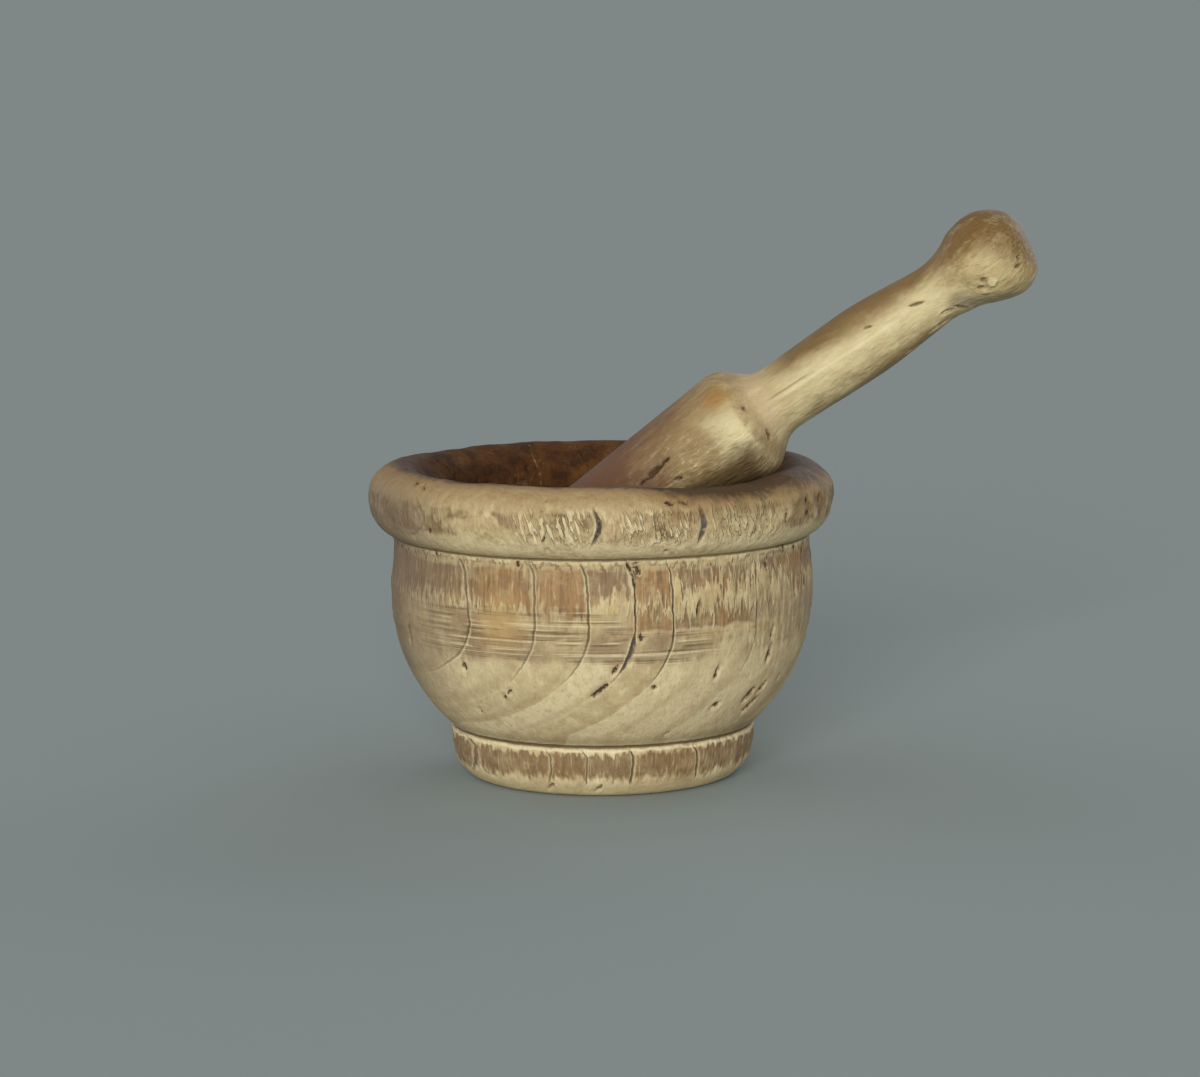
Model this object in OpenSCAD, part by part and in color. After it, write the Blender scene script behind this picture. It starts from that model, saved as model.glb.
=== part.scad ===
// A turned wooden mortar with its pestle leaning in the bowl.
// The mortar is one block turned on a lathe: a low foot, a swelling wall, a rolled rim and a round bowl.
// The pestle is one turned stick: a thick head, a shoulder, a slim grip and a knob at its top end.
// Origin: the centre of the foot's flat underside. +Z is up, and the pestle leans towards +X.

/* [Mortar] */
// Height from the table to the highest line of the rim
mortar_h = 84; // [78:0.5:90]
// Outer diameter of the rim
rim_d = 125; // [120:0.5:130]
// Largest diameter of the wall under the rim
belly_d = 113.4; // [108:0.2:118]
// Height of the wall's widest line
belly_z = 50; // [44:0.5:56]
// Diameter of the wall where it goes in under the rim
neck_d = 112; // [108:0.5:116]

/* [Rim] */
// Diameter of the rim's highest line
crest_d = 107; // [103:0.5:110]
// Drop from the rim's highest line to its widest line
crest_drop = 9.3; // [7:0.1:11]
// Squareness of the rim's outer crown: 2 is an ellipse, more is squarer
crest_square = 2.4; // [2:0.1:3]
// Radius of the roll under the rim's widest line
roll_r = 10.5; // [8.5:0.1:12]
// Drop from the rim's highest line to the mouth's narrowest line
lip_drop = 13; // [11:0.5:15]

/* [Bowl] */
// Diameter of the mouth and of the round bowl below it
mouth_d = 87; // [82:0.5:91]
// Straight stretch between the lip and the round bowl
throat_h = 3; // [1:0.5:6]

/* [Foot] */
// Largest diameter of the foot
foot_d = 82.2; // [76:0.2:88]
// Height of the crease between foot and wall
foot_h = 13.9; // [12:0.1:17]
// Height of the foot's widest line
foot_widest_z = 11; // [8:0.2:11.6]
// Diameter of the flat that the mortar stands on
foot_flat_d = 65.6; // [56:0.2:72]
// Depth of the crease between foot and wall
crease = 0.6; // [0.3:0.1:1.5]

/* [Pestle head] */
// Diameter of the round tip
tip_d = 18.6; // [15:0.1:22]
// Largest diameter of the head, at its shoulder
head_d = 31.7; // [28:0.1:34]
// Length from the tip to the head's largest diameter
head_len = 88.5; // [82:0.5:96]
// Radius that rounds the head over into the shoulder
shoulder_round = 7.8; // [5:0.1:9]
// Slope of the shoulder, away from the pestle's axis
shoulder_slope = 40; // [32:1:50]
// Radius of the hollow between shoulder and grip
shoulder_fillet = 8; // [5:0.1:10]

/* [Pestle grip] */
// Diameter of the grip next to the shoulder
grip_d = 18.7; // [16:0.1:21]
// Diameter of the grip's swell
swell_d = 19.8; // [18:0.1:23]
// Distance from the shoulder's hollow to the swell
swell_at = 25; // [18:0.5:34]
// Length of the grip, from the shoulder's hollow to the knob
grip_len = 54.4; // [46:0.2:64]
// Diameter of the grip next to the knob
collar_d = 16.2; // [13:0.1:18]
// Largest diameter of the knob
knob_d = 25.7; // [22:0.1:30]
// Length of the knob below its widest line
knob_low = 12.6; // [9:0.1:16]
// Length of the knob above its widest line
knob_high = 10.8; // [7:0.1:13]
// Squareness of the knob's end: 2 is an ellipse, more is squarer
knob_square = 2.3; // [2:0.1:3]

/* [Resting pose] */
// Lean of the pestle, up from the table
lean = 34.2; // [30:0.1:42]
// Heading of the pestle, turned from +X about the mortar's axis
heading = -12; // [-45:1:45]
// Gap left where the pestle rests on the bowl and on the rim
seat_gap = 0.3; // [0.2:0.05:0.5]

/* [Hidden] */

turn_fn = 144;  // steps round a turned piece
arc_step = 5;   // degrees between the points of an outline's arcs
ease_steps = 8; // points along an eased stretch of the grip

pale_wood = "burlywood";
worn_wood = "tan";

// Mortar, worked out from its sizes.
rim_r = rim_d / 2;
rim_z = mortar_h - crest_drop;
roll_x = rim_r - roll_r;
groove_a = acos((neck_d / 2 - roll_x) / roll_r);
groove_z = rim_z - roll_r * sin(groove_a);
crest_r = crest_d / 2;
lip_w = crest_r - mouth_d / 2;
lip_z = mortar_h - lip_drop;
bowl_r = mouth_d / 2;
bowl_z = lip_z - throat_h;
foot_r = foot_d / 2;
foot_flat_r = foot_flat_d / 2;
wall_foot_r = foot_r - crease;
wall_rise = belly_z - foot_h;
wall_spread = belly_d / 2 - wall_foot_r;
wall_round = (wall_rise ^ 2 + wall_spread ^ 2) / (2 * wall_spread);
wall_turn = asin(wall_rise / wall_round);

// Pestle, worked out from its sizes.
tip_r = tip_d / 2;
knob_r = knob_d / 2;
round_x = head_d / 2 - shoulder_round;
head_rise = head_len - tip_r;
head_arm = norm([round_x, head_rise]);
head_taper = atan2(round_x, head_rise) - asin((tip_r - shoulder_round) / head_arm);
slope_x = round_x + shoulder_round * cos(shoulder_slope);
slope_z = head_len + shoulder_round * sin(shoulder_slope);
hollow_x = grip_d / 2 + shoulder_fillet * (1 - cos(shoulder_slope));
hollow_z = slope_z + (slope_x - hollow_x) / tan(shoulder_slope);
grip_z = hollow_z + shoulder_fillet * sin(shoulder_slope);
swell_z = grip_z + swell_at;
collar_z = grip_z + grip_len;
knob_z = collar_z + knob_low;
collar_share = collar_d / knob_d;
knob_fall = knob_low / sqrt(1 - collar_share ^ 2);

// Points along a part of an ellipse, from angle a0 to angle a1.
function arc(x, z, rx, rz, a0, a1) =
    let (steps = max(2, ceil(abs(a1 - a0) / arc_step)))
    [for (i = [0:steps]) let (a = a0 + (a1 - a0) * i / steps) [x + rx * cos(a), z + rz * sin(a)]];

// Points of a squared quarter ellipse, from its widest point up to its highest.
function crown(x, z, rx, rz, square) =
    [for (a = [0:arc_step:90]) [x + rx * cos(a) ^ (2 / square), z + rz * sin(a) ^ (2 / square)]];

// Points of a smooth stretch that starts and ends along the axis.
function ease(r0, z0, r1, z1) =
    [for (i = [0:ease_steps]) let (t = i / ease_steps)
        [r0 + (r1 - r0) * (1 - cos(180 * t)) / 2, z0 + (z1 - z0) * t]];

function mortar_outline() = concat(
    [[0, 0]],
    arc(foot_flat_r, foot_widest_z, foot_r - foot_flat_r, foot_widest_z, -90, 0),
    arc(wall_foot_r, foot_widest_z, crease, foot_h - foot_widest_z, 0, 90),
    arc(belly_d / 2 - wall_round, belly_z, wall_round, wall_round, -wall_turn, 0),
    ease(belly_d / 2, belly_z, neck_d / 2, groove_z),
    arc(roll_x, rim_z, roll_r, roll_r, -groove_a, 0),
    crown(crest_r, rim_z, rim_r - crest_r, crest_drop, crest_square),
    arc(crest_r, lip_z, lip_w, lip_drop, 90, 180),
    arc(0, bowl_z, bowl_r, bowl_r, 0, -90)
);

function pestle_outline() = concat(
    arc(0, tip_r, tip_r, tip_r, -90, -head_taper),
    arc(round_x, head_len, shoulder_round, shoulder_round, -head_taper, shoulder_slope),
    arc(grip_d / 2 + shoulder_fillet, grip_z, shoulder_fillet, shoulder_fillet, 180 + shoulder_slope, 180),
    ease(grip_d / 2, grip_z, swell_d / 2, swell_z),
    ease(swell_d / 2, swell_z, collar_d / 2, collar_z),
    arc(0, knob_z, knob_r, knob_fall, -acos(collar_share), 0),
    crown(0, knob_z, knob_r, knob_high, knob_square)
);

// The resting pose lies in the upright plane of the pestle's heading, as [out from the axis, up].
// The tip's centre stays one reach away from the bowl's centre, and the head's underside on the lip.
bowl_centre = [0, bowl_z];
tip_reach = bowl_r - tip_r - seat_gap;
under_slope = lean - head_taper;
along = [cos(lean), sin(lean)];
across = [sin(lean), -cos(lean)];
round_arm = along * head_rise + across * round_x;

function off_lip(slope) = [-sin(slope), cos(slope)];
// The point of the lip that slopes by this much.
function lip_point(slope) =
    let (k = norm([lip_w * sin(slope), lip_drop * cos(slope)]))
    [crest_r - lip_w ^ 2 * sin(slope) / k, lip_z + lip_drop ^ 2 * cos(slope) / k];
// The tip's centre when the shoulder's round touches the lip where it slopes by this much.
function tip_by_round(slope) = lip_point(slope) + off_lip(slope) * (shoulder_round + seat_gap) - round_arm;
// Below 0 the head's taper lies on the lip, that many millimetres down from the shoulder.
// Above 0 the shoulder's round lies on it, that many degrees round.
function tip_when(seat) =
    seat < 0 ? tip_by_round(under_slope) - seat * [cos(under_slope), sin(under_slope)]
             : tip_by_round(under_slope + seat);
function find_seat(low, high) =
    let (mid = (low + high) / 2)
    high - low < 0.0001 ? mid
    : norm(tip_when(mid) - bowl_centre) > tip_reach ? find_seat(low, mid) : find_seat(mid, high);

tip_centre = tip_when(find_seat(-head_rise / 2, 90 - under_slope));

module mortar() {
    color(pale_wood)
        rotate_extrude($fn = turn_fn)
            polygon(mortar_outline());
}

module pestle() {
    color(worn_wood)
        rotate([0, 0, heading])
            translate([tip_centre.x, 0, tip_centre.y])
                rotate([0, 90 - lean, 0])
                    translate([0, 0, -tip_r])
                        rotate_extrude($fn = turn_fn)
                            polygon(pestle_outline());
}

mortar();
pestle();
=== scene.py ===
import bpy
from math import acos, asin, atan2, ceil, cos, degrees, hypot, pi, radians, sin, sqrt, tan
from mathutils import Euler, Matrix, Vector
from random import Random


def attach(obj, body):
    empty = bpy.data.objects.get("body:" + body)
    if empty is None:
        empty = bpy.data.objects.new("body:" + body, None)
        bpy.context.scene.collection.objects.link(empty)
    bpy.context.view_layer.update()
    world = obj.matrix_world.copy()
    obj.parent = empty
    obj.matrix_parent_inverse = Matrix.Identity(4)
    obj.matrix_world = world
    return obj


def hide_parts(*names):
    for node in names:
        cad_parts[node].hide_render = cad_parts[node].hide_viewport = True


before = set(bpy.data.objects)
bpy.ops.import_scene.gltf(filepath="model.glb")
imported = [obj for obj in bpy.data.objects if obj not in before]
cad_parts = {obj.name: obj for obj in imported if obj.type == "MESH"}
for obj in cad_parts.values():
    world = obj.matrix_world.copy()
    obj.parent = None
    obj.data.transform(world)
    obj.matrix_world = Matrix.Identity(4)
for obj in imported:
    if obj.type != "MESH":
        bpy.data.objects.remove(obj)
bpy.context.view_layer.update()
mm = 0.001


def tone(red, green, blue):  # a display colour, 0 to 255, as the linear one that a socket takes
    shares = [value / 255 for value in (red, green, blue)]
    return tuple(s / 12.92 if s <= 0.04045 else ((s + 0.055) / 1.055) ** 2.4 for s in shares) + (1.0,)


class Wire:  # a socket of a shader tree or a geometry tree, which takes part in sums
    def __init__(self, tree, socket):
        self.tree = tree
        self.socket = socket

    def node(self, kind, settings=None, values=None, output=0):
        made = self.tree.nodes.new(kind)
        for name, value in (settings or {}).items():
            if name == "stops":
                setStops(made.color_ramp.elements, value)
            else:
                setattr(made, name, value)
        for key, value in (values or {}).items():
            if isinstance(value, Wire):
                self.tree.links.new(value.socket, made.inputs[key])
            else:
                made.inputs[key].default_value = value
        return Wire(self.tree, made.outputs[output])

    def math(self, operation, *others):
        return self.node("ShaderNodeMath", {"operation": operation}, dict(enumerate((self,) + others)))

    def vector(self, operation, other, output=0):
        return self.node("ShaderNodeVectorMath", {"operation": operation}, {0: self, 1: other}, output)

    def scaled(self, factor):
        return self.node("ShaderNodeVectorMath", {"operation": "SCALE"}, {0: self, "Scale": factor})

    def __add__(self, other):
        return self.math("ADD", other)

    def __sub__(self, other):
        return self.math("SUBTRACT", other)

    def __mul__(self, other):
        return self.math("MULTIPLY", other)

    def __truediv__(self, other):
        return self.math("DIVIDE", other)

    def __rsub__(self, other):
        return self.node("ShaderNodeMath", {"operation": "SUBTRACT"}, {0: other, 1: self})

    def __abs__(self):
        return self.math("ABSOLUTE")

    __radd__ = __add__
    __rmul__ = __mul__

    def parts(self):
        return [self.node("ShaderNodeSeparateXYZ", None, {0: self}, axis) for axis in range(3)]

    def clamp(self, low, high):
        return self.node("ShaderNodeClamp", None, {0: self, 1: low, 2: high})

    def ease(self, low, high):  # 0 at low and 1 at high, and smooth between them
        settings = {"interpolation_type": "SMOOTHSTEP"}
        return self.node("ShaderNodeMapRange", settings, {0: self, 1: low, 2: high})

    def band(self, low, high, soft):  # 1 from low to high, with soft ends
        return self.ease(low - soft, low + soft) * self.ease(high + soft, high - soft)

    def blend(self, under, over):  # this mask lays one colour over another; 6 and 7 are the colour sockets
        return self.node("ShaderNodeMix", {"data_type": "RGBA"}, {0: self, 6: under, 7: over}, 2)


def setStops(elements, stops):
    while len(elements) < len(stops):
        elements.new(1.0)
    for element, (place, value) in zip(elements, stops):
        element.position = place
        element.color = (value, value, value, 1.0)


def noise(point, stretch, seed, detail=2.0, roughness=0.5):  # stretch is in waves per millimetre
    spread = point.vector("MULTIPLY", stretch)
    values = {"Vector": spread, "W": seed, "Scale": 1.0, "Detail": detail, "Roughness": roughness}
    return point.node("ShaderNodeTexNoise", {"noise_dimensions": "4D"}, values)


def even(scale):
    return (scale, scale, scale)


def spot(point, centre, radius):  # 1 at the centre, and 0 a radius away
    return point.vector("DISTANCE", centre, "Value").ease(radius, 0.0)


def spots(point, places):  # several spots in one field: [centre, radius, strength]
    return sum(spot(point, centre, radius) * strength for centre, radius, strength in places)


# Outlines, as [distance from the axis, height] in millimetres.

def arc(x, z, rx, rz, start, end, step=2):
    steps = max(2, ceil(abs(end - start) / step))
    angles = [radians(start + (end - start) * i / steps) for i in range(steps + 1)]
    return [(x + rx * cos(a), z + rz * sin(a)) for a in angles]


def crown(x, z, rx, rz, square, steps=40):
    angles = [pi / 2 * i / steps for i in range(steps + 1)]
    return [(x + rx * max(cos(a), 0) ** (2 / square), z + rz * sin(a) ** (2 / square)) for a in angles]


def easeLine(r0, z0, r1, z1, steps=16):
    shares = [i / steps for i in range(steps + 1)]
    return [(r0 + (r1 - r0) * (1 - cos(pi * t)) / 2, z0 + (z1 - z0) * t) for t in shares]


def walk(points, step):  # the same line with points at an even step
    lengths = [0.0]
    for a, b in zip(points, points[1:]):
        lengths.append(lengths[-1] + hypot(b[0] - a[0], b[1] - a[1]))
    count = max(1, round(lengths[-1] / step))
    walked = []
    k = 0
    for i in range(count + 1):
        goal = lengths[-1] * i / count
        while k < len(points) - 2 and lengths[k + 1] < goal:
            k += 1
        share = (goal - lengths[k]) / max(lengths[k + 1] - lengths[k], 1e-9)
        walked.append(tuple(a + (b - a) * share for a, b in zip(points[k], points[k + 1])))
    return walked


def joined(*lines):
    whole = []
    for line in lines:
        whole += [p for p in line if not whole or hypot(p[0] - whole[-1][0], p[1] - whole[-1][1]) > 1e-4]
    return whole


def softened(points, corner, reach, steps=16):  # the same line with a curve in place of one corner
    before = [p for p in points if p[1] < corner[1] - reach]
    after = [p for p in points if p[1] > corner[1] + reach]
    sides = list(zip(before[-1], corner, after[0]))
    curve = []
    for i in range(1, steps):
        t = i / steps
        curve.append(tuple((1 - t) ** 2 * a + 2 * t * (1 - t) * b + t ** 2 * c for a, b, c in sides))
    return before + curve + after


def radiusAt(outline, height):  # how far the outline is from the axis there
    for a, b in zip(outline, outline[1:]):
        if min(a[1], b[1]) <= height <= max(a[1], b[1]) and a[1] != b[1]:
            return a[0] + (b[0] - a[0]) * (height - a[1]) / (b[1] - a[1])
    return outline[-1][0]


def meshObject(name, points, edges=()):
    mesh = bpy.data.meshes.new(name)
    mesh.from_pydata([Vector(p) * mm for p in points], list(edges), [])
    made = bpy.data.objects.new(name, mesh)
    bpy.context.scene.collection.objects.link(made)
    return made


# Marks are small pits and slits: [degrees round, height, lean in degrees, length, width].

def markDots(marks, outline, step=0.2):
    points = []
    sizes = []
    for turn, height, lean, length, width in marks:
        count = max(1, ceil(length / step))
        for i in range(count + 1):
            share = i / count * 2 - 1
            z = height + share * length / 2 * cos(radians(lean))
            radius = radiusAt(outline, z)
            a = radians(turn) + share * length / 2 * sin(radians(lean)) / radius
            points.append((radius * sin(a), -radius * cos(a), z))
            sizes.append(max(width / 2 * sqrt(max(1 - share * share, 0)), width / 8) * mm)
    return points, sizes


def farMarks(far):  # more marks like these, by chance, on the side that faces away
    dice = Random(far["seed"])
    marks = []
    for _ in range(far["count"]):
        turn = dice.uniform(*far["turn"])
        heights = [dice.uniform(*span) for span in far["heights"]]
        height = dice.choice(heights) if len(heights) > 1 else heights[0]
        marks.append((turn, height, *[dice.uniform(*far[name]) for name in ("lean", "length", "width")]))
    return marks


def markObject(name, *groups):  # a loose point for each dot, with its size beside it
    points, sizes = [sum(lists, []) for lists in zip(*groups)]
    made = meshObject(name, points)
    made.data.attributes.new("size", "FLOAT", "POINT").data.foreach_set("value", sizes)
    return made


def startTree(name, inputs):
    tree = bpy.data.node_groups.new(name, "GeometryNodeTree")
    tree.interface.new_socket("Geometry", in_out="INPUT", socket_type="NodeSocketGeometry")
    tree.interface.new_socket("Geometry", in_out="OUTPUT", socket_type="NodeSocketGeometry")
    for label, kind in inputs.items():
        tree.interface.new_socket(label, in_out="INPUT", socket_type="NodeSocket" + kind)
    entry = tree.nodes.new("NodeGroupInput")
    return {label: Wire(tree, entry.outputs[label]) for label in ["Geometry"] + list(inputs)}


latheInputs = {"Steps": "Int", "Wear": "Float", "Seed": "Float", "Marks": "Object", "Finish": "Material",
               "Place": "Vector", "Turn": "Rotation"}


def turned(entry):  # the outline in the entry, turned round +Z into a closed skin
    line = entry["Geometry"]
    steps = entry["Steps"]
    rows = line.node("GeometryNodeAttributeDomainSize", {"component": "MESH"}, {"Geometry": line})
    sizes = {"Size X": steps, "Size Y": rows - 1, "Vertices X": steps + 1, "Vertices Y": rows}
    sheet = line.node("GeometryNodeMeshGrid", None, sizes)
    position = line.node("GeometryNodeInputPosition")
    pestleShadowReach, up, _ = position.parts()
    row = (up + (rows - 1) / 2).math("ROUND")
    angle = (pestleShadowReach / steps + 0.5) * (2 * pi)
    picked = {"Geometry": line, "Value": position, "Index": row}
    radius, _, height = line.node("GeometryNodeSampleIndex", {"data_type": "FLOAT_VECTOR"}, picked).parts()
    ring = {0: radius * angle.math("COSINE"), 1: radius * angle.math("SINE"), 2: height}
    place = line.node("ShaderNodeCombineXYZ", None, ring)
    skin = line.node("GeometryNodeSetPosition", None, {"Geometry": sheet, "Position": place})
    return line.node("GeometryNodeMergeByDistance", None, {"Geometry": skin, "Distance": 2e-6})


def markField(entry, point):  # distance to the nearest mark, as a share of the mark's own radius
    dots = point.node("GeometryNodeObjectInfo", None, {"Object": entry["Marks"]}, "Geometry")
    looked = {"Geometry": dots, "Sample Position": point}
    nearest = point.node("GeometryNodeSampleNearest", {"domain": "POINT"}, looked)
    position = point.node("GeometryNodeInputPosition")
    size = point.node("GeometryNodeInputNamedAttribute", {"data_type": "FLOAT"}, {"Name": "size"})
    picked = {"Geometry": dots, "Value": position, "Index": nearest}
    centre = point.node("GeometryNodeSampleIndex", {"data_type": "FLOAT_VECTOR"}, picked)
    radius = point.node("GeometryNodeSampleIndex", None, {"Geometry": dots, "Value": size, "Index": nearest})
    return (point.vector("DISTANCE", centre, "Value") / radius).math("MINIMUM", 4.0)


def finishTree(entry, skin, depth, mark):  # presses the skin in by depth, in millimetres
    normal = skin.node("GeometryNodeInputNormal")
    inward = normal.scaled(depth * entry["Wear"] * -mm)
    kept = {"Geometry": skin, "Name": "mark", "Value": mark}  # the materials read it again
    skin = skin.node("GeometryNodeStoreNamedAttribute", {"data_type": "FLOAT", "domain": "POINT"}, kept)
    worn = skin.node("GeometryNodeSetPosition", None, {"Geometry": skin, "Offset": inward})
    placed = {"Geometry": worn, "Translation": entry["Place"], "Rotation": entry["Turn"]}
    placed = skin.node("GeometryNodeTransform", None, placed)
    smooth = skin.node("GeometryNodeSetShadeSmooth", None, {"Geometry": placed})
    real = skin.node("GeometryNodeRealizeInstances", None, {"Geometry": smooth})
    done = skin.node("GeometryNodeSetMaterial", None, {"Geometry": real, "Material": entry["Finish"]})
    leave = skin.tree.nodes.new("NodeGroupOutput")
    skin.tree.links.new(done.socket, leave.inputs[0])


def solve(piece, tree, values):  # runs the tree once and keeps its result as a plain mesh
    modifier = piece.modifiers.new(tree.name, "NODES")
    modifier.node_group = tree
    for item in tree.interface.items_tree:
        if item.in_out == "INPUT" and item.name in values:
            modifier[item.identifier] = values[item.name]
    ready = piece.evaluated_get(bpy.context.evaluated_depsgraph_get())
    mesh = bpy.data.meshes.new_from_object(ready)
    piece.modifiers.clear()
    piece.data = mesh


def makePiece(name, dial, rows, dots, finish, tree, placed=None):  # one turned piece, as a plain mesh
    line = [(r, 0, z) for r, z in rows]
    piece = meshObject(name, line, [(i, i + 1) for i in range(len(line) - 1)])
    values = {"Steps": dial["steps"], "Wear": dial["wear"], "Seed": dial["seed"]}
    values.update({"Marks": dots, "Finish": finish})
    values.update(placed or {})
    solve(piece, tree, values)
    bpy.data.objects.remove(dots)
    print(name + ":", len(piece.data.vertices), "points,", len(line), "rows")
    return piece


def startMaterial(name, gloss):
    material = bpy.data.materials.new(name)
    material.use_nodes = True
    tree = material.node_tree
    shader = tree.nodes["Principled BSDF"]
    shader.inputs["Specular IOR Level"].default_value = gloss
    place = tree.nodes.new("ShaderNodeTexCoord")
    return material, shader, Wire(tree, place.outputs["Object"])


def finishMaterial(shader, colour, roughness, relief):  # relief is in millimetres
    tree = colour.tree
    tree.links.new(colour.socket, shader.inputs["Base Color"])
    tree.links.new(roughness.socket, shader.inputs["Roughness"])
    bump = colour.node("ShaderNodeBump", None, {"Height": relief, "Distance": mm, "Strength": 1.0})
    tree.links.new(bump.socket, shader.inputs["Normal"])


# Mortar

mortar = {
    "foot": {"d": 82.2, "height": 13.9, "widest": 11, "flat": 65.6, "crease": 0.6},
    "wall": {"belly": 113.4, "bellyZ": 50, "neck": 112},
    "rim": {"d": 125, "top": 84, "crest": 107, "crestDrop": 9.3, "square": 2.4, "roll": 10.5,
            "lipDrop": 13, "face": 74},
    "bowl": {"mouth": 87, "throat": 3},
    "steps": 600,  # points round the axis
    "rowStep": 0.95,  # millimetres from row to row outside, and on the next line in the bowl
    "innerStep": 3.0,
    "wear": 1.0,
    "gloss": 0.18,
    "seed": 3.0,
    "rings": {  # where each growth ring comes out, and how strong its line is
        "rim": [(-107, 0.3), (-92, 0.5), (-76, 0.4), (-58.9, 0.6), (-46, 0.1), (-33.2, 0.45), (-20.4, 1.0),
                (-6, 0.0), (8, 1.0), (24, 0.1), (41.5, 0.4), (56, 0.5), (70, 0.3), (88, 0.6), (103, 0.4)],
        "wall": [(-107, 0.5), (-95, 0.3), (-83, 0.7), (-70.5, 0.5), (-58.9, 0.45), (-47.8, 0.85),
                 (-33.2, 0.8), (-20.4, 0.9), (-8.8, 1.0), (1.9, 1.0), (14, 0.05), (27.9, 0.4), (41, 0.15),
                 (55, 0.5), (67, 0.3), (79, 0.6), (91, 0.4), (103, 0.5)],
        "foot": [(-99, 0.5), (-86, 0.6), (-72, 0.3), (-61, 0.6), (-50, 0.4), (-39.9, 0.7), (-24.5, 0.7),
                 (-16.3, 0.8), (-4.6, 1.0), (15.1, 0.9), (29, 0.2), (41, 0.5), (52, 0.3), (66, 0.6),
                 (93, 0.5)],
    },
    "ringTilt": 0.3,
    "ringGap": 11.5,  # about how far apart the rings are
    "ringBend": {"from": 46, "over": 28, "pull": 0.03},  # below this height the lines turn aside
    "patches": {"low": 47, "flames": 53},  # the wall's brown end grain, and the tips of its flames
    "scratches": {"low": 38.5, "high": 52},  # from the lathe, round the wall
    "gaping": [  # where the ring lines gape: place, reach, strength
        ((-3, -62, 74), 7, 1), ((25, -57, 74), 6.5, 1), ((7, -55, 44), 14, 0.9), ((8, -56, 60), 7, 0.7),
    ],
    "torn": [  # where fibres are torn out of the rim's face
        ((-11, -61, 74), 17, 1), ((14, -60, 74), 14, 1), ((37, -50, 75), 16, 1),
    ],
    "sag": ((34, -42, 84), 22),  # the rim is worn down most here: place, reach
    "marks": [
        (-54.8, 83.1, -70, 3.2, 0.8), (-50.7, 82.4, -70, 2.2, 0.8), (-46.5, 70.5, 80, 2.2, 1.3),
        (-53.5, 68.6, 60, 1.8, 1.0), (-13.4, 81.6, 60, 1.4, 0.7), (-13, 67.9, 70, 2.0, 0.7),
        (-14, 70.3, 25, 2.0, 0.6), (16.3, 80.5, -65, 2.6, 1.3), (20, 80.4, -75, 2.8, 0.9),
        (16, 67, 65, 2.0, 0.7), (60, 77, 0, 1.8, 1.4), (67, 76.7, 0, 1.7, 1.2), (75, 74.7, 0, 2.4, 1.1),
        (60, 73.3, 80, 3.2, 1.2), (50.3, 74, 0, 3.0, 1.0),
        (-50.3, 64, 0, 2.6, 0.9), (-22.7, 63.6, 0, 2.2, 1.0), (7.2, 63, -30, 2.6, 1.0),
        (9.2, 62.4, -40, 2.8, 1.7), (50, 61, -8, 3.0, 0.9), (58, 64.4, 0, 1.4, 1.4),
        (64.7, 64.0, 0, 1.4, 1.2), (72, 63, 40, 3.6, 0.8),
        (-53.7, 51.5, 10, 2.2, 0.8), (10.2, 45, 0, 2.0, 1.3), (52.4, 37, 5, 5.2, 1.5),
        (52.5, 42.8, 3, 4.2, 0.9), (-65.2, 41.2, 10, 6.2, 1.1), (-41.3, 35.4, 0, 2.4, 1.9),
        (-27.3, 29.7, 45, 2.0, 0.9), (-29.6, 27.8, 45, 1.6, 0.9), (-41.4, 22.9, 80, 1.4, 1.0),
        (-0.8, 30.8, 50, 7.0, 1.2), (55, 27.2, 60, 3.6, 1.5), (49.5, 26, 40, 5.0, 1.8),
        (53.3, 22.6, 45, 5.6, 1.9), (36.3, 24.4, 65, 2.8, 1.4), (33.2, 34.2, 15, 4.2, 1.0),
        (63.4, 28.8, 60, 1.6, 1.2), (14.4, 31.2, 80, 2.0, 1.0), (22.3, 17.3, 75, 2.0, 0.9),
        (26, 52, 10, 4.2, 0.8), (3.4, 36.6, 35, 3.4, 1.1),
        (-21, 2.6, 50, 3.2, 0.8), (-1.6, 2.4, 50, 2.6, 0.8), (-3, 5.9, 90, 6.0, 0.7),
        (17.5, 6.0, 92, 9.0, 0.7), (66.6, 8.2, 0, 1.8, 1.1),
    ],
    "bowlMarks": [
        (-119.5, 77.4, 30, 1.6, 1.5), (-153.4, 77.3, 10, 1.4, 1.2), (-157, 76, 0, 1.0, 0.7),
        (-167.5, 78.8, 15, 2.2, 0.8), (-115.5, 80.6, 35, 4.6, 1.0), (-150, 73.8, 80, 5.0, 0.7),
        (-137, 73.6, 80, 4.0, 0.6), (60, 74, 10, 2, 1.0), (20, 66, 20, 3, 0.9), (-30, 70, 0, 2, 1.0),
        (150, 60, 30, 3, 1.0),
    ],
    "farMarks": {"count": 46, "seed": 11, "turn": (84, 288), "heights": [(20, 62), (67, 81), (3, 12)],
                 "lean": (-20, 70), "length": (1.2, 5), "width": (0.7, 1.4)},
}


def mortarHeights(dial):  # the foot's top, the groove under the rim, the rim's widest line and the lip
    wall, rim = dial["wall"], dial["rim"]
    neckGap = (rim["d"] - wall["neck"]) / 2
    widest = rim["top"] - rim["crestDrop"]
    groove = widest - sqrt(rim["roll"] ** 2 - (rim["roll"] - neckGap) ** 2)
    return dial["foot"]["height"], groove, widest, rim["top"] - rim["lipDrop"]


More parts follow.
